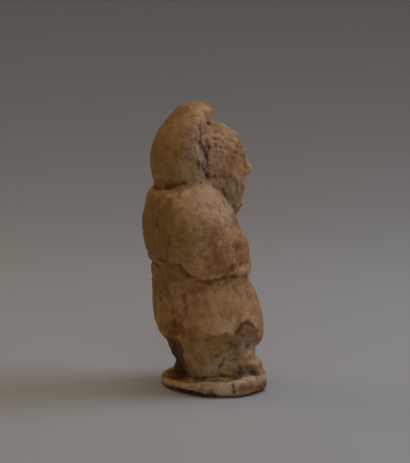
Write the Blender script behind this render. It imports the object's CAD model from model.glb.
import math

import bmesh
import bpy
import numpy as np
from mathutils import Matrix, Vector, noise
from mathutils.bvhtree import BVHTree


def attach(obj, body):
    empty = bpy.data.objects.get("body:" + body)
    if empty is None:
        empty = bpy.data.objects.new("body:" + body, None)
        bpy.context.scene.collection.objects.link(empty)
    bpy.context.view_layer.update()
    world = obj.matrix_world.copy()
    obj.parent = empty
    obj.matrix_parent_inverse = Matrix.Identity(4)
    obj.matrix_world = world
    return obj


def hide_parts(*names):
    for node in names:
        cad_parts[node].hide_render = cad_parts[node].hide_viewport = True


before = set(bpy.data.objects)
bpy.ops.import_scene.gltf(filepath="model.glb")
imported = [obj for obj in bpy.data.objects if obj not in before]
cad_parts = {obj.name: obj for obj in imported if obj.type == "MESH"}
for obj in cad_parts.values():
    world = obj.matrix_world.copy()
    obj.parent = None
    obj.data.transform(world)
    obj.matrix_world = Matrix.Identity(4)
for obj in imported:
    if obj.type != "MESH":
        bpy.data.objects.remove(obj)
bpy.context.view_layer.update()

MM = 0.001
NODE = "dwarf_figure"

# The picture's camera: azimuth and elevation in degrees, and what it looks at, in millimetres.
AZIMUTH = 252
ELEVATION = 8
AIM = Vector((0, -0.6, 62.3))
PICTURE = (410, 463)
PIXELS_PER_MM = 2.535
LENS = 106.3
SENSOR = 36
FOCAL = LENS / SENSOR * PICTURE[1]
EYE_DISTANCE = FOCAL / PIXELS_PER_MM


def axes(azimuth, elevation=0):
    """Right, up and ahead, as seen by someone who looks at the figure from that side."""
    turn, tip = math.radians(azimuth), math.radians(elevation)
    right = Vector((math.cos(turn), math.sin(turn), 0))
    level = Vector((-math.sin(turn), math.cos(turn), 0))
    ahead = level * math.cos(tip) - Vector((0, 0, math.sin(tip)))
    return right, right.cross(ahead), ahead


RIGHT, UP, AHEAD = axes(AZIMUTH, ELEVATION)
EYE = AIM - AHEAD * EYE_DISTANCE


def linear(code):
    """A hex sRGB colour as linear red, green, blue and alpha."""
    parts = [int(code[i : i + 2], 16) / 255 for i in (1, 3, 5)]
    return [p / 12.92 if p < 0.04045 else ((p + 0.055) / 1.055) ** 2.4 for p in parts] + [1]


def placed(name, bm):
    """A new object in the scene from a finished bmesh, with every face smooth."""
    for face in bm.faces:
        face.smooth = True
    mesh = bpy.data.meshes.new(name)
    bm.to_mesh(mesh)
    bm.free()
    obj = bpy.data.objects.new(name, mesh)
    bpy.context.scene.collection.objects.link(obj)
    return obj


# The clay. Lengths here are in millimetres.

SKIN_FACE = 0.5
SAME_POINT = 0.002

# A level line of sight starts this far out from the middle.
FAR = 200

STAINS = ("olive", "rust", "ash", "bloom", "pale", "chalk", "hollow", "edge", "soot")

# Hand-drawn lines stray by up to SWAY, less STEADY on the face and hands, in bends about SWAY_SIZE wide.
SWAY = 0.6
STEADY = 0.45
SWAY_SIZE = 2.6

# A line is thinner at its ends. A stain is broken up by the mottle, whose spots are MOTTLE_SIZE wide.
LINE_SWELL = 2.5
LINE_TIP = 0.3
MOTTLE_SIZE = 1.5

# A patch fades out where the clay turns edge on to the camera, and over DEPTH_FADE before its full depth.
EDGE_ON = 0.35
EDGE_FADE = 0.5
DEPTH_FADE = 5
STAIN_DEPTH = 22
CHIP_DEPTH = 14
RAGGED_SIZE = 2.4

# Points are compared with a path in batches, to spare memory.
BATCH = 2000

SEED = 5
noise.seed_set(SEED)


def in_order(parts, mark):
    """Puts parts of a mesh in the order of their marks, so that random picks are the same each run."""
    parts.index_update()
    marks = [mark(part) for part in parts]
    order = sorted(range(len(marks)), key=marks.__getitem__)
    rank = {index: place for place, index in enumerate(order)}
    parts.sort(key=lambda part: rank[part.index])
    parts.index_update()


def even_skin(node, name):
    """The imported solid's shape in one closed skin of small even faces."""
    bm = bmesh.new()
    bm.from_mesh(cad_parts[node].data)
    bmesh.ops.remove_doubles(bm, verts=bm.verts, dist=SAME_POINT * MM)
    rough = placed(name + "_rough", bm)
    remesh = rough.modifiers.new("even skin", "REMESH")
    remesh.mode = "VOXEL"
    remesh.voxel_size = SKIN_FACE * MM
    remesh.adaptivity = 0
    bm = bmesh.new()
    bm.from_mesh(rough.evaluated_get(bpy.context.evaluated_depsgraph_get()).to_mesh())
    bpy.data.objects.remove(rough)
    in_order(bm.verts, lambda vert: tuple(vert.co))
    for parts in (bm.edges, bm.faces):
        in_order(parts, lambda part: sorted(vert.index for vert in part.verts))
    return placed(name, bm)


def smooth_step(t):
    """A soft step from 0 to 1, as t goes from 0 to 1."""
    t = np.clip(t, 0, 1)
    return t * t * (3 - 2 * t)


def drawn(points):
    """The same path with its corners rounded off and its points close together."""
    path = np.array(points, float)
    for _ in range(5):
        near, far = path[:-1], path[1:]
        between = np.stack([0.75 * near + 0.25 * far, 0.25 * near + 0.75 * far], axis=1)
        path = np.concatenate([path[:1], between.reshape(-1, path.shape[1]), path[-1:]])
    return path


def other_side(points):
    """The same places on the figure's other side."""
    return [point * (-1, 1, 1) for point in points]


def noise_at(points, size, offset):
    """Noise from -1 to 1 in lumps about as wide as size. The offset keeps it from repeating another."""
    return np.array([noise.noise(Vector(p)) for p in points / size + offset])


def noise_vectors(points, size):
    """A smooth random push for each point, of about 1 at most."""
    return np.array([noise.noise_vector(Vector(p)) for p in points / size])


def inside_by(spots, ring):
    """How far each flat spot lies inside a closed outline. It is below 0 outside."""
    gap = np.full(len(spots), 1e9)
    crossings = np.zeros(len(spots), int)
    for a, b in zip(ring, np.roll(ring, -1, axis=0)):
        along, to = b - a, spots - a
        t = np.clip(to @ along / (along @ along), 0, 1)
        gap = np.minimum(gap, np.linalg.norm(to - t[:, None] * along, axis=1))
        over = (a[1] > spots[:, 1]) != (b[1] > spots[:, 1])
        crossings += over & (spots[:, 0] < a[0] + along[0] * (spots[:, 1] - a[1]) / (along[1] or 1e-9))
    return np.where(crossings % 2 == 1, gap, -gap)


class Clay:
    """The skin under the modeller's hands. Strokes add up in lift, outwards from home."""

    def __init__(self, obj):
        self.obj = obj
        mesh = obj.data
        self.edges = np.zeros(len(mesh.edges) * 2, int)
        mesh.edges.foreach_get("vertices", self.edges)
        self.edges = self.edges.reshape(-1, 2)
        self.home = np.zeros(len(mesh.vertices) * 3)
        mesh.vertices.foreach_get("co", self.home)
        self.home = self.home.reshape(-1, 3) / MM
        self.neighbours = np.bincount(self.edges.ravel(), minlength=len(self.home))
        self.lift = np.zeros(len(self.home))
        self.stains = {name: np.zeros(len(self.home)) for name in STAINS}
        self.sway = np.zeros(len(self.home))
        self.mottle = np.zeros(len(self.home))
        self.look()

    def look(self):
        """Takes the skin's outward directions, and what a line of sight meets, from where it is now."""
        mesh = self.obj.data
        mesh.vertices.foreach_set("co", (self.home * MM).ravel())
        mesh.update()
        out = np.zeros(len(self.home) * 3)
        mesh.vertex_normals.foreach_get("vector", out)
        self.out = out.reshape(-1, 3)
        self.swayed = self.home
        if self.sway.any():
            self.swayed = self.home + self.sway[:, None] * noise_vectors(self.home, SWAY_SIZE)
        bpy.context.view_layer.update()
        self.tree = BVHTree.FromObject(self.obj, bpy.context.evaluated_depsgraph_get())

    def around(self, values):
        """The mean of each point's neighbours, for one number a point."""
        a, b = self.edges.T
        count = len(self.home)
        total = np.bincount(a, values[b], count) + np.bincount(b, values[a], count)
        return total / self.neighbours

    def ease(self, times, share=0.5):
        """Goes over the skin with a wet finger, so that facets and joints run into each other."""
        share = np.broadcast_to(share, len(self.home))
        ids, ends = np.unique(self.edges[(share[self.edges] > 0).any(axis=1)], return_inverse=True)
        a, b = ends.reshape(-1, 2).T
        spots, beside, share = self.home[ids], self.neighbours[ids], share[ids]
        for _ in range(times):
            for axis in range(3):
                row = spots[:, axis]
                total = np.bincount(a, row[b], len(ids)) + np.bincount(b, row[a], len(ids))
                spots[:, axis] += (total / beside - row) * share
        self.home[ids] = spots

    def pare(self, picked, ahead, depth):
        """Shaves a flat facet off the picked points with a knife, square to a direction."""
        ahead = np.array(ahead) / np.linalg.norm(ahead)
        over = self.home[picked] @ ahead
        self.home[picked] -= np.clip(over - over.max() + depth, 0, None)[:, None] * ahead

    def settle(self, times):
        """Moves the skin as the strokes say, eases it, and takes the result as its new home."""
        self.home += self.out * self.lift[:, None]
        self.lift[:] = 0
        self.ease(times)
        self.look()

    def met(self, start, ahead):
        """Where a line of sight first meets the clay, or the clay's nearest point if it passes by."""
        spot = self.tree.ray_cast(start * MM, ahead)[0]
        if spot is None:
            spot = self.tree.find_nearest((start + ahead * (AIM - start).dot(ahead)) * MM)[0]
        return np.array(spot) / MM

    def seen(self, *pixels):
        """The places on the clay that the picture's camera sees at these pixels."""
        middle = Vector(PICTURE) / 2
        sights = [AHEAD * FOCAL + RIGHT * (x - middle.x) - UP * (y - middle.y) for x, y in pixels]
        return [self.met(EYE, sight.normalized()) for sight in sights]

    def side(self, azimuth, *spots):
        """The places on the clay seen level from an azimuth, at (distance to the right, height)."""
        right, up, ahead = axes(azimuth)
        return [self.met(right * across + up * height - ahead * FAR, ahead) for across, height in spots]

    def reach(self, points, width, taper=True):
        """How near each point of the skin is to a path: 1 on it, and 0 at its width and beyond."""
        path, widths = np.array(points), width
        if len(points) > 1:
            path = drawn(points)
            if taper:
                swell = LINE_SWELL * np.sin(math.pi * np.linspace(0, 1, len(path)))
                widths = width * np.clip(swell, LINE_TIP, 1)
        near = np.zeros(len(self.home))
        inside = ((self.swayed > path.min(0) - width) & (self.swayed < path.max(0) + width)).all(1)
        picked = np.flatnonzero(inside)
        for part in np.array_split(picked, 1 + len(picked) // BATCH):
            gaps = np.linalg.norm(self.swayed[part, None] - path[None], axis=2) / widths
            near[part] = np.clip(1 - gaps.min(axis=1, initial=9) ** 2, 0, 1)
        return near

    def stroke(self, points, width, height, sharp, both=False, taper=True):
        """Draws clay up along a path, or presses it in where height is below 0."""
        self.lift += height * self.reach(points, width, taper) ** sharp
        if both:
            self.stroke(other_side(points), width, height, sharp, False, taper)

    def stain(self, name, points, width, amount):
        """Lays a stain along a path."""
        layer = self.stains[name]
        broken = np.clip(0.9 + 0.7 * self.mottle, 0.3, 1.2)
        np.maximum(layer, amount * broken * self.reach(points, width, False), out=layer)

    def pictured(self):
        """The pixel at which the picture shows each point, and how far ahead of the camera it lies."""
        away = self.home - np.array(EYE)
        far = away @ np.array(AHEAD)
        x = PICTURE[0] / 2 + FOCAL * (away @ np.array(RIGHT)) / far
        y = PICTURE[1] / 2 - FOCAL * (away @ np.array(UP)) / far
        return np.stack([x, y], axis=1), far

    def patch(self, corners, soft, depth):
        """A patch whose corners are pixels of the picture: 1 inside, and 0 beyond its soft edge."""
        ring = np.array(corners, float)
        pixels, far = self.pictured()
        level = ((np.array(self.seen(*corners)) - np.array(EYE)) @ np.array(AHEAD)).mean()
        facing = self.out @ np.array(AHEAD)
        beyond = np.abs(far - level)
        near = np.abs(pixels - ring.mean(axis=0)) < np.ptp(ring, axis=0) + 2 + 2 * soft * PIXELS_PER_MM
        picked = np.flatnonzero((facing < EDGE_ON) & (beyond < depth) & near.all(axis=1))
        inside = inside_by(pixels[picked], ring) / PIXELS_PER_MM
        ragged = 0.8 * min(soft, 4) * noise_at(self.home[picked], RAGGED_SIZE, 11)
        fade = smooth_step((EDGE_ON - facing[picked]) / EDGE_FADE)
        fade = fade * smooth_step((depth - beyond[picked]) / DEPTH_FADE)
        share = np.zeros(len(self.home))
        share[picked] = fade * smooth_step(0.5 + (inside + ragged) / soft)
        return share


dwarf = even_skin(NODE, "dwarf_of_clay")
clay = Clay(dwarf)

# Hands, face and the hair over the forehead keep their edges when the rest is smoothed: path and width,
# seen from the front.
FINE = [
    ([(-9, 56), (0, 56), (9, 56)], 7),
    ([(0, 94), (0, 86), (0, 80)], 12),
    ([(-7, 100), (0, 102), (7, 100)], 5),
]
fine = np.zeros(len(clay.home))
for spots, width in FINE:
    fine = np.maximum(fine, clay.reach(clay.side(0, *spots), width, False))
fine = smooth_step(1.6 * fine)
clay.ease(6, 0.5 - 0.35 * fine)
clay.look()

# Joints that run into each other under a wet finger, on both sides: pixels, width and number of passes.
MELTS = [
    # the sleeve and the cape, and the crook of the arm
    ([(204, 232), (214, 246), (226, 262)], 9, 120),
    ([(226, 236), (230, 246), (233, 258)], 5, 40),
    # the hood's rim and its peak over the hair
    ([(208, 116), (204, 128), (204, 145), (205, 162), (207, 178)], 5, 130),
    ([(213, 113), (210, 118), (206, 124)], 6, 200),
    # the cape's hem, and the sleeve's lower and back edge
    ([(150, 258), (158, 260), (170, 264), (180, 267)], 6, 150),
    ([(184, 273), (192, 280), (204, 284), (216, 283), (228, 276)], 3.6, 70),
    ([(170, 258), (178, 264), (184, 272), (190, 279)], 5, 120),
    # the hood and the cape at the nape
    ([(154, 186), (168, 187.5), (180, 185), (192, 182)], 4, 50),
]
hands_apart = smooth_step((np.abs(clay.home[:, 0]) - 8) / 4)
for pixels, width, times in MELTS:
    path = clay.seen(*pixels)
    share = np.maximum(clay.reach(path, width), clay.reach(other_side(path), width))
    clay.ease(times, 0.5 * smooth_step(2 * share) * hands_apart)
clay.ease(4, 0.5 - 0.35 * fine)
clay.sway = SWAY - STEADY * fine
clay.look()

# Clay put on or taken off where the figure's outline needs it: pixels, width and height.
MASS = [
    ([(171, 114), (161, 127), (156, 140)], 8, 0.9),
    ([(145, 228), (146.5, 244), (150, 257)], 7, -0.6),
    ([(153, 266), (154, 280), (155, 296)], 7, 0.5),
    ([(156, 308), (157, 320), (162, 331)], 7, 1.2),
    ([(249, 271), (253, 285), (257, 300)], 6, 0.6),
    ([(209.5, 121), (206.5, 127), (205, 134)], 4, 0.9),
    ([(160, 264.5), (170, 265), (180, 266)], 3, 1.0),
    ([(190, 280), (198, 283.5), (206, 285), (214, 284.5), (222, 281.5)], 4, -1.1),
    ([(243.5, 231), (246, 235)], 3.5, 1.1),
    ([(247.5, 257), (248.5, 260)], 3, 1.1),
    ([(249.5, 243), (250, 251)], 5, -1.2),
    ([(255, 355), (257, 361)], 4, 1.7),
    ([(243, 262), (247, 262)], 2.5, 0.9),
]
for pixels, width, height in MASS:
    clay.stroke(clay.seen(*pixels), width, height, 1)
FAR_LEG = [(-6, 19), (-7.5, 15), (-8, 11), (-8.4, 8)]
clay.stroke(clay.side(180, *FAR_LEG), 6, -2.5, 1)
clay.settle(3)

LEG_CREASE = [(224.5, 357), (222.3, 362), (221.5, 365), (219, 369)]
NAPE_SHADE = [(155, 187), (168, 187.5), (177, 186), (184, 184)]
LEG_SPOT = [(196, 358), (202, 361)]

# Folds and joints on the side that the picture shows: pixels, width, height, sharpness, and whether they
# are on both sides.
STROKES = [
    # the hair comes up to the hood's rim, and a cleft runs between them
    ([(206.5, 128), (207, 142), (208.5, 155), (210, 168)], 3.2, 0.6, 2, True),
    ([(200, 121), (200.3, 132), (200.6, 142)], 0.7, -0.5, 2, True),
    ([(200.6, 142), (203.5, 149), (205, 155), (207.3, 160)], 0.8, -0.8, 2, True),
    ([(198, 144), (203, 147), (208, 150)], 1.3, -0.35, 2, True),
    ([(203.6, 124), (203.4, 133), (204.6, 142)], 1.0, 0.35, 2, True),
    ([(186, 137.5), (193, 141), (199.5, 145)], 0.7, -0.35, 2, True),
    ([(187, 150), (194, 147.5), (200, 147)], 0.7, -0.3, 2, False),
    ([(186, 157), (193, 153), (201, 150.5)], 0.7, -0.3, 2, False),
    ([(190, 160), (194, 164), (193, 170)], 0.7, -0.25, 2, False),
    ([(197.6, 159), (198.6, 164), (198.4, 169)], 0.7, -0.5, 2, True),
    ([(202, 164), (203.5, 170), (206, 175)], 1.4, -0.6, 2, True),
    ([(209.5, 160), (210, 168), (212.5, 175)], 0.9, 0.4, 2, True),
    ([(206.5, 176), (209, 177.5), (211, 178.5)], 1.2, -1.1, 2, True),
    ([(206.5, 181), (207, 186)], 0.7, -0.4, 2, False),
    # under the hood at the nape
    ([
        (154, 186), (160, 188.5), (168, 187.5), (178, 186), (187, 184.5), (193, 182.5),
    ], 3.0, -0.5, 1, True),
    # the cape's hem at the back, and the lower edge of the sleeve
    ([(152, 253), (156, 257), (163, 261.5), (172, 265.5), (181, 268)], 1.6, -0.45, 2, True),
    ([
        (186, 272), (191, 277), (197, 280.5), (205, 282), (214, 281.5), (223, 278.5), (229, 275.5),
    ], 1.4, -0.4, 2, True),
    ([(186, 267), (194, 274), (204, 277), (214, 276.5), (223, 273)], 2.6, 0.4, 2, True),
    ([(226.5, 272.5), (230.5, 269.5), (234, 266)], 1.4, -0.8, 2, True),
    ([(227, 276.5), (236, 277.3), (247, 277)], 1.1, -0.4, 2, True),
    ([(234, 271.5), (241, 269.5), (247, 268)], 2.2, 0.6, 2, True),
    ([(236.5, 238), (237, 248), (236, 260)], 1.2, -0.7, 2, True),
    ([(229, 243), (230.5, 250), (229, 257)], 1.4, 0.35, 2, True),
    # the hollow between the sleeve and the back of the cape
    ([(173, 208), (167, 222), (166, 238), (169, 252), (176, 262)], 3.4, -0.55, 1, True),
    # the tunic: creases, and folds drawn with a thumb
    ([(184, 296), (186.5, 305), (185.5, 313)], 1.4, -0.3, 2, False),
    ([(188.5, 304), (189.5, 314), (188, 322)], 1.7, 0.3, 2, False),
    ([(210.5, 300), (211.5, 309), (213.5, 317)], 1.6, 0.4, 2, False),
    ([(206, 299), (207, 309), (207, 318)], 1.1, -0.4, 2, False),
    ([(236, 288), (238, 303), (237, 318)], 2.4, -0.4, 1, False),
    ([(246, 284), (250, 300), (250, 318)], 2.4, -0.4, 1, False),
    ([(254, 290), (258, 305), (259, 320)], 1.8, -0.35, 1, False),
    ([(242, 288), (244, 303), (243, 320)], 2.0, 0.4, 1, False),
    ([(160, 290), (161, 305), (163, 320)], 1.8, -0.3, 2, False),
    ([(172, 285), (173, 300), (172, 318)], 2.0, -0.3, 2, False),
    ([(164, 272), (162, 281), (157, 288)], 0.9, -0.45, 2, False),
    # the hem, and the clay pressed back below it
    ([(200, 330), (208, 332), (217, 333), (226, 332), (234, 334)], 1.8, 0.3, 2, False),
    ([(190, 340), (202, 339), (214, 341), (227, 340), (240, 341.5), (256, 341)], 3.4, -0.95, 1, True),
    # the legs and the foot
    (LEG_CREASE, 0.65, -0.8, 1, False),
    ([(232, 346), (233.5, 353), (235, 359)], 3.0, -0.9, 1, False),
    ([(195, 356), (199, 359), (203, 361)], 1.6, -0.35, 2, False),
    ([(203, 379.5), (209, 376.5), (216, 376.5), (225, 376), (232, 375.5)], 1.1, -0.6, 2, False),
    ([(232, 374.3), (236.5, 374.6)], 0.9, 0.5, 2, False),
    # the recess over the foot's edge
    ([(234, 377), (239, 371), (245, 367.5), (252, 369), (259, 373.5)], 2.2, -1.0, 1, False),
    ([(240, 374), (247, 372), (255, 373.5)], 1.6, -0.6, 1, False),
]
for pixels, width, height, sharp, both in STROKES:
    clay.stroke(clay.seen(*pixels), width, height, sharp, both)

# The face, seen from the front: spots, width, height and sharpness. What is off the middle is on both sides.
FACE = [
    # sockets, eyes, lids and brows
    ([(4.5, 90.8)], 3.5, -0.8, 1),
    ([(3.8, 90.2), (5.2, 90.2)], 2.0, 1.1, 1),
    ([(2.1, 89.9), (3.2, 91.2), (4.6, 91.7), (6.0, 91.2), (7.2, 89.9)], 0.7, 0.55, 1),
    ([(2.5, 89.9), (3.5, 90.5), (4.6, 90.7), (5.8, 90.5), (6.8, 89.9)], 0.5, -0.45, 1),
    ([(2.8, 89.4), (4.6, 88.6), (6.5, 89.3)], 0.55, -0.35, 1),
    ([(2.2, 92.4), (4.6, 93.0), (7.2, 92.2)], 0.7, -0.4, 1),
    ([(1.6, 93.4), (3.6, 94.5), (5.9, 94.7), (8.3, 93.3)], 1.3, 0.7, 2),
    # nose
    ([(0, 93), (0, 90), (0, 87.6)], 2.2, 0.35, 1),
    ([(0, 86.3)], 2.2, 0.5, 1),
    ([(1.8, 85.5)], 1.4, 0.8, 1),
    ([(2.9, 87.2), (3.4, 85.6), (2.9, 84.3)], 0.8, -0.45, 1),
    ([(0.9, 84.3)], 0.7, -0.6, 1),
    # cheeks, moustache and mouth
    ([(6.6, 86.8)], 4.0, 0.6, 2),
    ([(3.4, 85.0), (4.8, 83.4), (6.4, 81.6)], 1.2, -0.4, 1),
    ([(0.8, 83.5), (2.7, 83.3), (4.7, 82.0), (6.3, 79.6)], 1.4, 0.9, 1),
    ([(1.2, 83.7), (3.2, 83.2), (5.0, 81.6), (6.1, 79.8)], 0.45, -0.4, 1),
    ([(-2.3, 82.2), (-0.8, 82.6), (0, 82.3), (0.8, 82.6), (2.3, 82.2)], 0.7, 0.45, 1),
    ([(-2.6, 81.6), (-1.2, 81.8), (0, 81.6), (1.2, 81.8), (2.6, 81.6)], 0.55, -0.9, 1),
    ([(-1.9, 80.7), (0, 80.4), (1.9, 80.7)], 0.9, 0.65, 1),
    ([(-1.5, 79.3), (0, 79.1), (1.5, 79.3)], 0.9, -0.45, 1),
    # the beard's blunt end
    ([(-2.5, 72.4), (0, 71.4), (2.5, 72.4)], 3.2, 0.9, 1),
]
for spots, width, height, sharp in FACE:
    clay.stroke(clay.side(0, *spots), width, height, sharp, both=min(across for across, up in spots) > 0)

# The hands, in the same way: the right hand's fingers over the left, whose thumb lies on top, and cuffs.
HANDS = [
    ([(-3.4, 58.4), (0, 58.7), (5.4, 58.2)], 1.25, 0.9, 1),
    ([(-3.8, 56.2), (0, 56.4), (6.6, 56.0)], 1.25, 1.0, 1),
    ([(-3.8, 54.0), (0, 54.1), (6.2, 53.8)], 1.25, 0.9, 1),
    ([(-3.4, 51.9), (0, 51.9), (5.0, 51.7)], 1.15, 0.7, 1),
    ([(-5.0, 57.3), (0, 57.5), (6.0, 57.1)], 0.5, -0.7, 1),
    ([(-5.0, 55.1), (0, 55.2), (6.6, 54.9)], 0.5, -0.7, 1),
    ([(-5.0, 53.0), (0, 53.0), (5.8, 52.8)], 0.5, -0.7, 1),
    ([(-6.5, 55.2)], 3.6, 0.7, 2),
    ([(8.4, 58.0), (5.6, 60.0), (2.2, 60.8)], 1.4, 1.1, 1),
    ([(7.4, 57.4), (5.0, 59.0), (2.0, 59.7)], 0.6, -0.6, 1),
    ([(9.0, 55.0)], 3.0, 0.6, 2),
    ([(11.2, 50.6), (10.4, 55.5), (11.0, 60.6)], 1.7, 0.6, 1),
    ([(-11.2, 50.6), (-10.4, 55.5), (-11.0, 60.6)], 1.7, 0.6, 1),
    ([(10.0, 51.6), (9.4, 55.5), (9.9, 59.6)], 0.8, -0.5, 1),
    ([(-10.0, 51.6), (-9.4, 55.5), (-9.9, 59.6)], 0.8, -0.5, 1),
]
for spots, width, height, sharp in HANDS:
    clay.stroke(clay.side(0, *spots), width, height, sharp)

# The beard's locks, from the lip down to the tip, seen from the front, and from the temple along the jaw,
# seen from the side.
LOCK_TOP = 78.6
LOCK_MIDDLE = 73.4
LOCK_END = 69
for i, x in enumerate((0, 1.9, 3.8, 5.7, 7.6, 9.4)):
    top = LOCK_TOP + 0.5 * x
    bend = 0.35 * (-1) ** i
    upper = [(x, top), (0.88 * x + bend, top - 4)]
    lock = upper + [(0.62 * x - bend, LOCK_MIDDLE), (0.3 * x + bend, LOCK_END)]
    clay.stroke(clay.side(0, *lock), 0.75, -0.75, 1, both=x > 0)
JAW_LOCKS = [
    [(-5.2, 93), (-6.2, 87), (-9.5, 79.5), (-12.4, 72.5)],
    [(-7.2, 91), (-8.6, 85), (-11.4, 78), (-13.4, 72)],
    [(-3.6, 89), (-4.6, 84), (-8.2, 77.5), (-11.4, 71)],
    [(-1.8, 88), (-2.6, 83.5), (-5.6, 78), (-9, 72)],
    [(-0.2, 87), (-0.8, 83), (-3, 78.6), (-6.4, 73.6)],
]
for lock in JAW_LOCKS:
    clay.stroke(clay.side(90, *lock), 0.8, -0.5, 1, both=True)

# Curls: a raised ring round a small hole.
chance = np.random.default_rng(SEED)
CURL_LINE = 0.7
CURL_HOLE = 0.8


def curl(seen, spot, radius, scale, height):
    """One curl at a spot. seen gives the clay's places from its side, in scale units to the mm."""
    (x, y), reach = spot, scale * radius
    ring = [(x + reach * math.cos(t), y + reach * math.sin(t)) for t in np.arange(0, 7) * math.pi / 3]
    points = seen(*ring)
    middle = seen(spot)
    clay.stroke(points, CURL_LINE, height, 1, taper=False)
    clay.stroke(middle, CURL_HOLE, -1.5 * height, 1)
    return middle


# Worn curls by the temple, at these pixels, each with a plain knob as its twin on the other side.
TEMPLE_CURLS = [
    (209, 147), (215, 131), (222, 137), (217, 145), (221, 153), (213, 157), (216, 165), (221, 171),
    (210, 138), (214, 176), (220, 127),
]
for x, y in TEMPLE_CURLS:
    spot = (x + chance.uniform(-0.8, 0.8), y + chance.uniform(-0.8, 0.8))
    radius = chance.uniform(1.0, 1.5)
    middle = curl(clay.seen, spot, radius, PIXELS_PER_MM, 0.2)[0]
    twin = other_side([middle])
    clay.stroke(twin, 1.6 * radius, 0.25, 1)
    clay.stroke(twin, CURL_HOLE, -0.5, 1)

# Two rows of curls over the forehead, seen from the front: how far out each is, and how far it is turned.
CURL_ROWS = [(10.4, 0), (13.2, 7)]
CURL_CENTRE = 91.5
for turn in range(-75, 76, 15):
    for out, shift in CURL_ROWS:
        t = math.radians(turn + shift)
        spot = (out * math.sin(t), CURL_CENTRE + 0.9 * out * math.cos(t))
        curl(lambda *spots: clay.side(0, *spots), spot, chance.uniform(1.1, 1.5), 1, 0.35)

# The back: soft folds that hang from the shoulders, the hem, the nape and the tunic's pleats.
BACK = [
    ([(-8, 76), (-9, 66), (-10, 55)], 3.0, -0.5, 1),
    ([(3, 77), (3.5, 66), (3, 55)], 3.0, -0.45, 1),
    ([(10, 75), (12, 66), (12.5, 56)], 2.6, -0.4, 1),
    ([(-17, 51.6), (-9, 50.6), (0, 50.4), (9, 50.6), (17, 51.6)], 1.4, -0.9, 2),
    ([(-12, 82), (-6, 80.6), (0, 80.2), (6, 80.6), (12, 82)], 1.6, -0.9, 2),
    ([(-12, 46), (-12.5, 36), (-13, 26)], 1.8, -0.45, 1),
    ([(-5, 46), (-5, 36), (-5.5, 25)], 1.9, -0.45, 1),
    ([(2, 46), (2.5, 36), (2, 25)], 1.8, -0.45, 1),
    ([(9, 46), (9.5, 36), (10, 26)], 1.8, -0.45, 1),
    ([(-8.5, 44), (-9, 36), (-9, 27)], 1.7, 0.3, 1),
    ([(6, 44), (6, 36), (6, 27)], 1.7, 0.3, 1),
]
for spots, width, height, sharp in BACK:
    clay.stroke(clay.side(180, *spots), width, height, sharp)

# Chips at the hem where the outer skin of the clay has broken away: soft edge, depth and corners.
HEM_CHIPS = [
    (0.5, 0.6, [
        (233, 337), (238, 329), (241, 324.5), (245, 321.5), (249.5, 321.8), (253, 327), (256, 330),
        (258, 338),
    ]),
    (1.2, 0.4, [
        (167, 336), (168, 326), (171, 321), (176, 320), (181, 323), (184, 328), (197, 328.5), (198, 334),
        (184, 337),
    ]),
]
chipped = np.zeros(len(clay.home))
for soft, depth, corners in HEM_CHIPS:
    chip = clay.patch(corners, soft, CHIP_DEPTH)
    chipped = np.maximum(chipped, chip)
    clay.lift -= depth * chip
clay.settle(1)

# The slab: pressed out a little thicker along its rim, then pared all round with a knife, first its side,
# then its upper edge, and last three facets that the picture shows: direction and depth.
SLAB_TOP = 7.5
SLAB_INNER = 15
FACETS = [((-0.45, 0.89, -1), 1.5), ((-0.95, 0.3, -0.5), 0.6), ((-0.31, -0.95, 0.1), 1.3)]
REAR_EDGE = np.array((-0.45, 0.89, 0))
RIM_CRACK = [(231.2, 382), (233.4, 386.5), (232.8, 390), (234, 394), (233.4, 397)]
upright = np.hypot(clay.out[:, 0], clay.out[:, 1])
rim_path = [clay.side(turn, (0, 5.2))[0] for turn in range(0, 361, 12)]
on_slab = smooth_step((SLAB_TOP - clay.home[:, 2]) / 1.5)
clay.lift += 0.7 * on_slab * smooth_step(2 * upright - 0.6) * (clay.home[:, 2] > 0.2)
clay.lift += 0.6 * on_slab * clay.reach(rim_path, 2.0, False)
clay.settle(0)
picked = np.flatnonzero((clay.home[:, 2] < SLAB_TOP) & (np.hypot(*clay.home[:, :2].T) > SLAB_INNER))
chance = np.random.default_rng(SEED)
for turn in range(0, 360, 21):
    t = math.radians(turn + chance.uniform(-7, 7))
    clay.pare(picked, (math.cos(t), math.sin(t), chance.uniform(-0.45, 0.25)), chance.uniform(0.4, 1.1))
for turn in range(0, 360, 40):
    t = math.radians(turn + chance.uniform(-12, 12))
    out = clay.home[picked] @ np.array((math.cos(t), math.sin(t), 0))
    upper_edge = picked[out > out.max() - 6]
    clay.pare(upper_edge, (0.3 * math.cos(t), 0.3 * math.sin(t), 1), chance.uniform(0.2, 0.7))
for ahead, depth in FACETS:
    clay.pare(picked, ahead, depth)
clay.settle(0)

# The rim is undercut all round, and more so at the rear on the figure's right, and it has a small crack.
not_below = clay.out[:, 2] > -0.8
clay.lift -= 1.2 * smooth_step(1 - clay.home[:, 2] / 1.5) * not_below
rearward = smooth_step(1.6 * (clay.home @ REAR_EDGE) / 20 - 0.5)
clay.lift -= 1.6 * rearward * smooth_step(1.2 - clay.home[:, 2] / 2.2) * on_slab * not_below
clay.stroke(clay.seen(*RIM_CRACK), 0.55, -1.1, 1, taper=False)
clay.settle(1)

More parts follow.
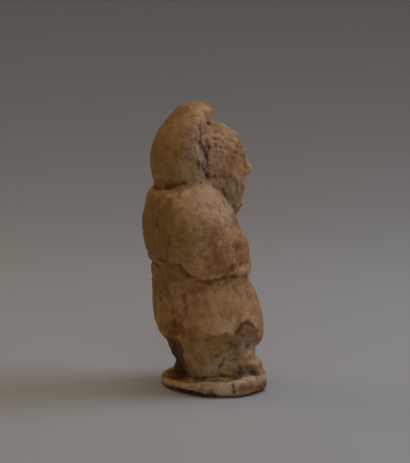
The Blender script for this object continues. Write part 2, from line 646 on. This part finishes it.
# Unevenness of hand work, from palm to finger: lump size, height, offset in the noise, and how much of it
# the face and hands are spared. Then the streaks of an upright wipe, and the rough slab and chips.
UNEVEN = [(9, 0.4, 0, 0.8), (3.6, 0.27, 7, 0.85), (1.6, 0.17, 3, 0.7)]
WIPED_FLAT = (1, 1, 0.22)
raised = smooth_step((clay.home[:, 2] - 0.3) / 1.2)
for size, height, offset, calm in UNEVEN:
    clay.lift += height * raised * (1 - calm * fine) * noise_at(clay.home, size, offset)
clay.lift += 0.18 * raised * (1 - fine) * noise_at(clay.home * WIPED_FLAT, 1.9, 21)
clay.lift += 0.2 * raised * on_slab * noise_at(clay.home, 1.3, 41)
clay.lift += 0.3 * chipped * noise_at(clay.home, 1.3, 51)

# Pits where grit and chaff have burnt or fallen out, and more of them where the skin is worn.
WORN_HOOD = [
    (186, 132), (198, 120), (214, 122), (224, 130), (222, 160), (214, 182), (196, 182), (184, 160),
]
WORN_LEG = [(206, 346), (248, 336), (240, 374), (200, 378)]
worn = np.maximum(clay.patch(WORN_HOOD, 4, CHIP_DEPTH), clay.patch(WORN_LEG, 4, CHIP_DEPTH))
clay.lift += 0.2 * worn * noise_at(clay.home, 1.1, 31)


def pits(where, count, smallest, widest):
    """Round pits with their middles on some of the points."""
    for spot in clay.home[chance.choice(where, count, replace=False)]:
        radius = chance.uniform(smallest, widest)
        clay.stroke([spot], radius, -0.45 * radius, 1)


pits(len(clay.home), 420, 0.4, 1.0)
pits(np.flatnonzero(worn > 0.5), 120, 0.5, 1.0)
clay.settle(0)

# Stains and wear, as patches with their corners at pixels: stain, amount, soft edge and corners.
PATCHES = [
    ("olive", 0.95, 11, [(130, 120), (165, 95), (178, 118), (180, 182), (130, 186)]),
    ("olive", 1.0, 14, [(125, 190), (165, 189), (180, 214), (182, 262), (125, 262)]),
    ("olive", 0.9, 12, [(125, 262), (182, 268), (178, 300), (164, 322), (125, 330)]),
    ("olive", 0.7, 10, [(176, 340), (234, 338), (230, 382), (188, 382)]),
    ("olive", 0.8, 1.6, [(186, 338), (204, 335.5), (236, 335.5), (234, 352), (186, 354)]),
    ("rust", 0.5, 1.6, [(204, 335.5), (238, 335.5), (236, 343), (206, 343)]),
    ("olive", 0.7, 3, [(160, 369), (178, 369), (186, 386), (164, 385)]),
    ("rust", 0.8, 8, [(200, 222), (214, 216), (222, 232), (222, 262), (206, 270), (197, 258)]),
    ("rust", 1.0, 2, [(232, 240), (240, 240), (242, 262), (234, 264)]),
    ("rust", 0.8, 2, [(150, 187), (182, 183), (182, 188), (156, 192)]),
    ("olive", 1.1, 2, [(149, 192), (158, 194), (156, 212), (148, 208)]),
    ("rust", 0.45, 5, [(186, 286), (206, 290), (200, 326), (180, 326)]),
    ("rust", 0.6, 9, [(206, 286), (262, 284), (268, 334), (206, 334)]),
    ("rust", 1.0, 0.8, [
        (234, 337), (238, 329), (241, 324.5), (245, 321.5), (249.5, 321.8), (253, 327), (257, 334),
        (257, 338),
    ]),
    ("rust", 0.8, 2.5, [
        (167, 337), (168, 325), (173, 319), (181, 322), (185, 328), (200, 328), (200, 336), (184, 338),
    ]),
    ("olive", 1.3, 2, [(166, 338), (167, 325), (173, 319), (181, 322), (185, 329), (183, 338)]),
    ("soot", 0.3, 2.5, [(168, 337), (169, 325), (173, 321), (180, 323), (183, 330), (181, 337)]),
    ("rust", 1.0, 1.5, [
        (186, 379), (203, 381), (232, 378), (258, 373), (262, 376), (245, 378), (232, 381), (214, 384),
        (200, 385), (184, 382),
    ]),
    ("rust", 1.0, 1.0, [
        (228, 379), (236, 371), (243, 364.5), (251, 364), (257, 368), (261, 373), (247, 377), (233, 381),
    ]),
    ("soot", 0.6, 1.2, [
        (233, 377), (238, 371), (244, 365.5), (251, 365.5), (257, 369.5), (261, 373.5), (247, 376),
    ]),
    ("rust", 0.8, 1.6, [(235, 385), (247, 381), (268, 378), (268, 396), (235, 400)]),
    ("ash", 0.6, 7, [(186, 132), (200, 118), (222, 124), (225, 160), (216, 182), (198, 184), (184, 172)]),
    ("ash", 0.7, 4, [(184, 170), (198, 172), (200, 184), (194, 196), (184, 196)]),
    ("ash", 0.8, 3, [(227, 188), (243, 188), (243, 206), (237, 213), (230, 206)]),
    ("ash", 0.4, 5, [(228, 338), (250, 336), (248, 352), (240, 374), (226, 374)]),
    ("ash", 0.35, 9, [(222, 128), (248, 140), (248, 200), (236, 212), (222, 190)]),
    ("ash", 0.5, 8, [(180, 104), (214, 104), (214, 126), (186, 130)]),
    ("ash", 0.7, 3, [(238, 346), (258, 350), (262, 372), (240, 374)]),
    ("bloom", 0.6, 6, [(198, 140), (212, 150), (212, 172), (200, 176), (190, 166)]),
    ("bloom", 0.8, 6, [(230, 336), (256, 336), (250, 346), (242, 354), (238, 372), (229, 372)]),
    ("bloom", 0.5, 3, [(227, 188), (243, 188), (240, 208), (230, 204)]),
    ("bloom", 1.0, 1.6, [(183, 387.5), (213, 390), (216, 399), (186, 397)]),
    ("soot", 0.9, 1.6, [
        (158, 385), (185, 400), (235, 402), (232, 398), (218, 396.5), (212, 393), (188, 391), (168, 385),
    ]),
    ("soot", 1.3, 1.8, [(173, 343), (180, 343), (185, 360), (190, 379), (180, 379), (176, 362)]),
    ("rust", 1.0, 2.5, [(160, 340), (180, 342), (185, 360), (190, 379), (170, 374), (166, 360)]),
    ("soot", 0.85, 2, [(169, 344), (176, 343), (182, 360), (185, 379), (176, 379), (171, 362)]),
    ("bloom", 0.7, 1.5, [(160, 342), (176, 344), (180, 372), (166, 372)]),
    ("soot", 0.35, 2, [(229, 342), (240, 344), (240, 358), (229, 358)]),
    ("soot", 0.5, 1.6, [(234, 208), (240, 204), (239, 213), (234, 213)]),
    ("pale", 0.6, 5, [(184, 190), (212, 184), (236, 208), (226, 222), (196, 212)]),
    ("ash", 0.9, 5, [(190, 188), (214, 184), (238, 208), (230, 224), (200, 212)]),
    ("pale", 0.8, 4, [(192, 106), (212, 106), (213, 122), (196, 124)]),
    ("pale", 0.7, 5, [(222, 226), (236, 226), (236, 240), (226, 246)]),
    ("pale", 0.8, 1.5, [(230, 272), (247, 263), (248, 275), (229, 277)]),
    ("pale", 0.7, 3, [(208, 301), (214, 301), (216, 318), (210, 319)]),
    ("pale", 0.5, 7, [(234, 284), (252, 284), (262, 320), (242, 318)]),
    ("pale", 0.95, 2, [(200, 316), (238, 316), (233, 334.5), (204, 334.5)]),
    ("pale", 0.5, 8, [(218, 214), (240, 222), (246, 270), (224, 278)]),
    ("pale", 0.75, 10, [(194, 284), (262, 284), (264, 334), (200, 334)]),
    ("pale", 0.8, 1.5, [(240, 351), (254, 350), (262, 364), (256, 366), (244, 363)]),
    ("pale", 0.9, 1.0, [(160, 377), (180, 382), (200, 385), (200, 388), (176, 386), (160, 382)]),
    ("chalk", 1.0, 1.0, [
        (190, 385), (203, 386.5), (215, 385), (225, 383.5), (233, 381.5), (247, 376.5), (262, 373.5),
        (258, 378.5), (247, 381), (233, 386), (212, 389.5), (196, 388.5),
    ]),
    ("chalk", 0.9, 1.6, [(214, 385), (233, 384), (234, 396), (218, 397)]),
    ("chalk", 0.5, 5, [(185, 142), (197, 135), (199, 158), (186, 160)]),
    ("rust", 0.5, 1.5, [(254, 330), (268, 330), (262, 342), (250, 342)]),
    ("olive", 0.8, 6, [(170, 112), (187, 105), (189, 140), (176, 150)]),
    ("rust", 0.5, 4, [(178, 110), (188, 108), (190, 128), (182, 130)]),
    ("ash", 0.9, 3, [(212, 178), (234, 176), (236, 194), (218, 194)]),
    ("pale", 0.9, 4, [(168, 196), (192, 187), (190, 210), (174, 209)]),
    ("olive", 0.9, 3, [(224, 207), (242, 212), (242, 228), (230, 230)]),
    ("olive", 0.9, 7, [(160, 218), (184, 216), (198, 238), (198, 262), (160, 262)]),
    ("olive", 0.9, 3, [(150, 176), (176, 177), (178, 189), (156, 192)]),
    ("soot", 0.3, 4, [(156, 178), (182, 178), (180, 189), (158, 191)]),
    ("rust", 0.9, 3, [(194, 284), (220, 284), (218, 293), (200, 295)]),
    ("ash", 0.8, 2, [(222, 316), (239, 314), (234, 333), (222, 333)]),
    ("bloom", 0.9, 3, [(240, 338), (260, 336), (258, 355), (244, 356)]),
    ("soot", 0.55, 3, [(184, 360), (192, 364), (199, 378), (197, 384), (184, 384)]),
    ("olive", 0.9, 3, [(182, 358), (194, 362), (202, 380), (184, 384)]),
    ("ash", 0.8, 6, [(206, 356), (230, 354), (228, 373), (208, 374)]),
    ("rust", 1.0, 2, [(255, 377), (272, 375), (272, 398), (255, 398)]),
    ("soot", 0.3, 2, [(258, 377), (272, 375), (272, 398), (258, 398)]),
    ("chalk", 0.9, 1, [(234.5, 384), (241, 382), (241, 396), (234.5, 397)]),
    ("rust", 0.6, 2, [(254, 312), (268, 312), (270, 330), (256, 330)]),
    ("soot", 0.35, 2, [(233, 242), (240, 242), (242, 262), (235, 263)]),
]
for name, amount, soft, corners in PATCHES:
    np.maximum(clay.stains[name], amount * clay.patch(corners, soft, STAIN_DEPTH), out=clay.stains[name])

# Dirt along the foot of the slab's rim.
clay.stains["soot"] = np.maximum(clay.stains["soot"], 0.9 * smooth_step((1.3 - clay.home[:, 2]) / 0.9))
clay.mottle = noise_at(clay.home, MOTTLE_SIZE, 17)

# Thin lines and spots of dirt: stain, amount, width and pixels.
LINES = [
    ("soot", 0.9, 0.9, [(200, 124), (200, 134), (200.6, 142)]),
    ("soot", 1.1, 1.0, [(200.6, 142), (204, 147), (206, 153), (207, 159)]),
    ("soot", 0.9, 0.8, [(204, 147), (209, 143), (211, 147), (208, 151)]),
    ("soot", 0.6, 0.8, [(190, 139), (195, 142), (199, 145)]),
    ("soot", 0.6, 0.7, [(195, 136.5), (197.5, 139.5), (200, 142)]),
    ("soot", 0.8, 0.7, [(206.5, 137), (205.5, 142)]),
    ("soot", 0.9, 0.7, [(205, 155), (206.3, 160), (207, 166)]),
    ("soot", 0.8, 0.8, [(189, 150), (196, 148), (202, 149)]),
    ("soot", 1.0, 0.9, [(197.6, 159), (198.6, 166)]),
    ("soot", 0.7, 1.8, [(201, 165), (204, 171), (206, 175)]),
    ("soot", 1.0, 1.0, [(205, 175.5), (206.5, 177.5)]),
    ("bloom", 1.0, 1.6, [(208, 176.5), (211, 178.5)]),
    ("soot", 1.0, 1.0, [(215, 144), (216.5, 146)]),
    ("soot", 1.0, 0.9, [(214.5, 138), (216, 139)]),
    ("soot", 0.6, 1.4, [(174, 185), (180, 184), (186, 182)]),
    ("olive", 1.0, 2.6, [(157, 220), (157.5, 224)]),
    ("olive", 1.0, 3.0, [(169, 238), (170, 243)]),
    ("olive", 1.0, 2.0, [(172, 249), (173, 252)]),
    ("soot", 0.75, 1.6, [(157, 221), (158, 224)]),
    ("soot", 0.75, 2.2, [(168.5, 239), (170, 243)]),
    ("olive", 1.2, 2.2, [(158, 258), (166, 262)]),
    ("soot", 0.5, 1.6, [(159, 258), (163, 261), (167, 262)]),
    ("soot", 0.4, 2.0, [(164, 269), (171, 266), (178, 269)]),
    ("soot", 0.35, 1.8, [(166, 281), (170, 276), (176, 278)]),
    ("rust", 0.8, 2.2, [(181, 283), (188, 289)]),
    ("soot", 0.7, 2.0, [(181, 266), (184, 272), (188, 277)]),
    ("soot", 0.5, 2.0, [(196, 286), (204, 288)]),
    ("soot", 0.3, 1.6, [(190, 277), (200, 281), (210, 282), (222, 279.5)]),
    ("soot", 0.7, 1.0, [(227, 271.5), (231, 269.5), (233.5, 268)]),
    ("soot", 0.5, 0.8, [(226, 278), (236, 278), (247, 277)]),
    ("rust", 1.0, 1.7, [(183.5, 296), (184.5, 304), (185.5, 314)]),
    ("soot", 0.6, 1.0, [(183.5, 297), (184.5, 303), (185, 309)]),
    ("rust", 0.9, 1.6, [(204, 294), (206.5, 303), (207, 316)]),
    ("soot", 0.35, 1.0, [(205.5, 300), (207, 310), (206.5, 316)]),
    ("soot", 0.4, 0.9, [(160, 290), (161, 300)]),
    ("rust", 1.0, 1.3, [(236.5, 332), (241, 325), (245, 321.5), (249, 321.5), (254, 326), (256, 332)]),
    ("soot", 0.85, 1.5, [(237, 331), (241, 325), (245, 321.5), (249, 321.5), (254, 326), (256, 331)]),
    ("soot", 0.4, 0.7, [(208, 328), (208.5, 333)]),
    ("rust", 1.0, 1.3, LEG_CREASE),
    ("soot", 1.0, 0.8, LEG_CREASE),
    ("soot", 0.6, 1.1, [(212.5, 362), (213, 362.5)]),
    ("soot", 0.6, 1.1, [(213.5, 371), (214, 371.5)]),
    ("soot", 0.8, 1.5, [(239, 372.5), (246, 370), (253, 371.5)]),
    ("soot", 0.6, 0.8, [(227.5, 359), (228, 359.5)]),
    ("olive", 1.0, 2.4, LEG_SPOT),
    ("soot", 0.3, 2.0, LEG_SPOT),
    ("soot", 0.7, 1.1, [(192, 379), (203, 380), (214, 377.5), (226, 376.5), (233, 375.5)]),
    ("olive", 1.1, 2.6, NAPE_SHADE),
    ("rust", 0.7, 2.0, NAPE_SHADE),
    ("soot", 0.5, 1.8, [(156, 187), (164, 188), (172, 187)]),
    ("soot", 1.3, 0.6, [(231.2, 383), (233.4, 386.5), (232.8, 390), (234, 394), (233.4, 397)]),
]
for name, amount, width, pixels in LINES:
    clay.stain(name, clay.seen(*pixels), width, amount)

# The same stains on the sides that the picture doesn't show: stain, amount, width, azimuth and path.
RUNS = [
    ("olive", 0.8, 10, 180, [(-8, 100), (4, 96), (6, 88)]),
    ("olive", 0.7, 12, 180, [(-12, 70), (2, 66), (10, 60)]),
    ("olive", 0.5, 9, 180, [(6, 40), (-8, 34)]),
    ("rust", 0.7, 7, 90, [(-2, 66), (0, 58)]),
    ("rust", 0.6, 6, 180, [(-6, 44), (8, 38)]),
    ("rust", 0.8, 3, 180, [(-14, 81), (0, 80), (14, 81)]),
    ("rust", 0.9, 3.4, 90, [(-14, 26), (-4, 24), (6, 25)]),
    ("rust", 0.6, 6, 0, [(-8, 32), (6, 28)]),
    ("ash", 0.8, 6, 90, [(-8, 98), (-5, 90), (-3, 83)]),
    ("ash", 0.6, 5, 0, [(-9, 99), (0, 103), (9, 99)]),
    ("ash", 0.7, 5, 0, [(-3, 74), (2, 71)]),
    ("ash", 0.8, 6, 90, [(-12, 14), (-6, 9)]),
    ("ash", 0.7, 5, 0, [(-9, 14), (-9, 9)]),
    ("pale", 0.8, 8, 90, [(4, 76), (-4, 70)]),
    ("pale", 0.6, 7, 0, [(-10, 64), (8, 66)]),
    ("pale", 0.6, 6, 0, [(-6, 38), (8, 42)]),
    ("pale", 0.5, 6, 90, [(-14, 40), (-16, 30)]),
    ("soot", 0.5, 3, 0, [(0, 12), (0, 20)]),
    ("bloom", 0.7, 5, 90, [(-10, 90), (-6, 82)]),
    ("bloom", 0.7, 5, 90, [(-12, 14), (-6, 9)]),
    ("bloom", 0.5, 5, 0, [(-9, 14), (-9, 9)]),
    ("soot", 0.5, 3, 180, [(0, 10), (0, 20)]),
]
for name, amount, width, azimuth, spots in RUNS:
    clay.stain(name, clay.side(azimuth, *spots), width, amount)

# Earth has stayed between the legs.
LEG_GAP = [np.array((-2.0, 11.0, height)) for height in (10, 14, 18)]
clay.stain("rust", LEG_GAP, 11, 1.1)
clay.stain("soot", LEG_GAP, 9, 1.5)

# The front and the arms are cloudy from handling: stain, amount, number of clouds, least and most width.
BLOTS = [("rust", 1.2, 70, 1.2, 3.0), ("pale", 0.85, 50, 1.0, 2.4), ("soot", 0.45, 70, 0.8, 1.8)]
height = clay.home[:, 2]
handled = np.flatnonzero((height > 22) & (height < 70) & (clay.home[:, 1] < 6) & (fine < 0.3))
for name, amount, count, smallest, widest in BLOTS:
    for spot in clay.home[chance.choice(handled, count, replace=False)]:
        clay.stain(name, [spot], chance.uniform(smallest, widest), amount)
clay.stains["pale"] *= 1 - chipped

# Dirt stays in hollows, and edges are rubbed pale. How far a point lies below or above the eased skin
# says which, after little and after much easing: passes and weight.
EASINGS = [(6, 0.8), (30, 0.35)]
FULL_HOLLOW = 0.24
FULL_EDGE = 0.3
eased = Clay(dwarf)
depth = np.zeros(len(clay.home))
for times, weight in EASINGS:
    eased.ease(times)
    depth += weight * ((eased.home - clay.home) * clay.out).sum(axis=1)
for _ in range(2):
    depth = clay.around(depth)
clay.stains["hollow"] = smooth_step(depth / FULL_HOLLOW)
clay.stains["edge"] = smooth_step(-depth / FULL_EDGE)
for name, layer in clay.stains.items():
    dwarf.data.attributes.new(name, "FLOAT", "POINT").data.foreach_set("value", layer.astype(np.float32))

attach(dwarf, "root")
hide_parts(NODE)

# Materials.


def node(tree, kind, settings=None, links=None):
    """Adds a node to a material, sets its sockets and properties, and links its inputs."""
    made = tree.nodes.new(kind)
    for key, value in (settings or {}).items():
        if isinstance(key, int) or key in made.inputs:
            made.inputs[key].default_value = value
        else:
            setattr(made, key, value)
    for key, source in (links or {}).items():
        tree.links.new(source, made.inputs[key])
    return made.outputs


def plain(name, code, roughness):
    """A plain matt material of one colour."""
    material = bpy.data.materials.new(name)
    material.use_nodes = True
    shader = material.node_tree.nodes["Principled BSDF"]
    shader.inputs["Base Color"].default_value = linear(code)
    shader.inputs["Roughness"].default_value = roughness
    return material


# Lumps of colour and relief in the clay: width and height in millimetres, and number of finer layers.
# The sand is drawn about twice as coarse as it is, because finer grains would not show.
CLOUDS = {
    "hand": (14, 14, 3),
    "thumb": (5, 5, 4),
    "finger": (2.4, 2.4, 4),
    "wiped": (1.7, 9, 3),
    "grit": (1.1, 1.1, 3),
    "sand": (0.5, 0.5, 2),
}

# The coats of colour, from the clay outwards: colour, stain, cloud that breaks it up and by how much, two
# limits between which it comes in, and its strength. Another cloud in the stain's place gathers a coat in
# groups, and a coat with neither comes in by its own cloud alone.
COATS = [
    ("#b97d44", None, "hand", 1, 0.42, 0.6, 0.7),
    ("#e8b77f", None, "thumb", 1, 0.5, 0.64, 0.6),
    ("#865829", "hand", "thumb", 1, 0.53, 0.75, 0.5),
    ("#8a5c29", "hand", "finger", 1.2, 0.53, 0.8, 0.7),
    ("#f2c790", "hand", "finger", 1.2, 0.47, 0.2, 0.4),
    ("#a27e35", "olive", "thumb", 1.1, 0.05, 1.1, 0.72),
    ("#7e5a1c", "olive", "finger", 2.4, 0.7, 1.6, 0.45),
    ("#9c5a34", "rust", "finger", 1.4, 0.15, 1.1, 0.65),
    ("#dcbc97", "ash", "finger", 1.7, 0.1, 1.0, 0.7),
    ("#8f7260", "bloom", "finger", 1.1, 0.1, 1.05, 0.65),
    ("#fbc083", "pale", "thumb", 1.4, 0.1, 1.1, 0.7),
    ("#f7d6b6", "chalk", "finger", 1.3, 0.1, 1.0, 0.75),
    ("#8c5e31", "thumb", "wiped", 1, 0.53, 0.75, 0.5),
    ("#895b2f", "thumb", "grit", 1, 0.54, 0.8, 0.5),
    ("#634421", "hollow", "finger", 1.0, 0.15, 1.05, 0.65),
    ("#f4cb94", "edge", "grit", 1.2, 0.35, 1, 0.5),
    ("#523716", "soot", "finger", 0.9, 0.1, 0.95, 0.8),
]
CLAY = "#ce975d"
CLAY_IOR = 1.5
SMOOTHEST = 0.8
ROUGHEST = 0.97
# How deep the grain is, in millimetres.
RELIEF = 0.35


def clouds_in(tree):
    """The clouds as noise nodes of a material, in lengths of the piece itself."""
    place = node(tree, "ShaderNodeTexCoord")["Object"]
    clouds = {}
    for name, (width, height, layers) in CLOUDS.items():
        sizes = (1 / (width * MM), 1 / (width * MM), 1 / (height * MM))
        scaled = node(tree, "ShaderNodeMapping", {"Scale": sizes}, {"Vector": place})["Vector"]
        settings = {"Scale": 1, "Detail": layers, "Roughness": 0.6}
        clouds[name] = node(tree, "ShaderNodeTexNoise", settings, {"Vector": scaled})["Fac"]
    return clouds


def coated(tree, clouds):
    """The clay's colour under all its coats."""
    colour = None
    for code, stain, cloud, breakup, low, high, strength in COATS:
        share = clouds[cloud]
        if stain:
            settings = {"attribute_name": stain}
            layer = clouds.get(stain) or node(tree, "ShaderNodeAttribute", settings)["Fac"]
            settings = {"operation": "MULTIPLY_ADD", 1: breakup}
            share = node(tree, "ShaderNodeMath", settings, {0: share, 2: layer})[0]
            low, high = low + breakup / 2, high + breakup / 2
        limits = {"From Min": low, "From Max": high, "To Max": strength}
        settings = {"interpolation_type": "SMOOTHSTEP", **limits}
        share = node(tree, "ShaderNodeMapRange", settings, {"Value": share})["Result"]
        links = {"Fac": share, "Color1": colour} if colour else {"Fac": share}
        settings = {"Color1": linear(CLAY), "Color2": linear(code)}
        colour = node(tree, "ShaderNodeMixRGB", settings, links)[0]
    return colour


def terracotta():
    """Low-fired terracotta, pressed by hand and never glazed: dead matt, grainy where the sand shows,
    darker where earth has stayed in the hollows and paler where handling has rubbed the edges."""
    material = bpy.data.materials.new("terracotta_fired_hand_pressed")
    material.use_nodes = True
    tree = material.node_tree
    clouds = clouds_in(tree)
    colour = coated(tree, clouds)
    settings = {"operation": "MULTIPLY_ADD", 1: 0.6}
    grain = node(tree, "ShaderNodeMath", settings, {0: clouds["grit"], 2: clouds["sand"]})[0]
    relief = node(tree, "ShaderNodeBump", {"Strength": 1, "Distance": RELIEF * MM}, {"Height": grain})[0]
    limits = {"From Min": 0.3, "From Max": 0.7, "To Min": SMOOTHEST, "To Max": ROUGHEST}
    rough = node(tree, "ShaderNodeMapRange", limits, {"Value": clouds["grit"]})["Result"]
    shader = tree.nodes["Principled BSDF"]
    shader.inputs["IOR"].default_value = CLAY_IOR
    for key, source in (("Base Color", colour), ("Roughness", rough), ("Normal", relief)):
        tree.links.new(source, shader.inputs[key])
    return material


dwarf.data.materials.append(terracotta())

# The studio. Lengths here are in metres.

FLAT = 0.4
BEND = 1.3
WALL = 0.3
BEND_STEPS = 16


def sweep():
    """A round studio floor of pale paper that curves up into a wall all round."""
    bm = bmesh.new()
    profile = [(0, 0), (FLAT / 2, 0), (FLAT, 0)]
    for i in range(1, BEND_STEPS + 1):
        turn = math.pi / 2 * i / BEND_STEPS
        profile.append((FLAT + BEND * math.sin(turn), BEND * (1 - math.cos(turn))))
    profile.append((FLAT + BEND, BEND + WALL))
    verts = [bm.verts.new((r, 0, z)) for r, z in profile]
    edges = [bm.edges.new(pair) for pair in zip(verts, verts[1:])]
    full = {"cent": (0, 0, 0), "axis": (0, 0, 1), "angle": 2 * math.pi, "steps": 64, "use_merge": True}
    bmesh.ops.spin(bm, geom=verts + edges, **full)
    bmesh.ops.remove_doubles(bm, verts=bm.verts, dist=1e-5)
    bmesh.ops.recalc_face_normals(bm, faces=bm.faces)
    return placed("floor", bm)


floor = sweep()
floor.data.materials.append(plain("paper_pale_grey_matt", "#c6c4bf", 0.95))


def soft_light(name, across, toward, up, size, watts, code):
    """A softbox, off from what the camera looks at: across to the right, toward the camera, and up."""
    data = bpy.data.lights.new(name, "AREA")
    data.shape = "DISK"
    data.size = size
    data.energy = watts
    data.color = linear(code)[:3]
    light = bpy.data.objects.new(name, data)
    level = Vector((AHEAD.x, AHEAD.y, 0)).normalized()
    light.location = AIM * MM + RIGHT * across - level * toward + Vector((0, 0, up))
    light.rotation_euler = (AIM * MM - light.location).to_track_quat("-Z", "Y").to_euler()
    light.visible_camera = False
    bpy.context.scene.collection.objects.link(light)


# A window to the right, a warm lamp to the left, a ceiling panel and a weak light from behind the camera.
soft_light("window_right", 0.55, -0.05, 0.5, 0.5, 1.8, "#d1deff")
soft_light("lamp_left", -0.55, -0.2, 0.35, 0.5, 0.44, "#ffca78")
soft_light("ceiling_panel", 0, 0, 1.1, 0.8, 2.56, "#fff3e5")
soft_light("light_in_front", 0.1, 0.7, 0.5, 0.5, 0.64, "#e7f8ff")

world = bpy.data.worlds.new("studio_air")
bpy.context.scene.world = world
world.use_nodes = True
world.node_tree.nodes["Background"].inputs["Color"].default_value = linear("#e8e8ea")
world.node_tree.nodes["Background"].inputs["Strength"].default_value = 0.015

camera = bpy.data.objects.new("camera", bpy.data.cameras.new("camera"))
camera.data.lens = LENS
camera.data.sensor_width = SENSOR
camera.data.clip_start = 0.01
camera.data.clip_end = 10
camera.location = EYE * MM
camera.rotation_euler = AHEAD.to_track_quat("-Z", "Y").to_euler()
bpy.context.scene.collection.objects.link(camera)
bpy.context.scene.camera = camera
bpy.context.scene.view_settings.view_transform = "Standard"
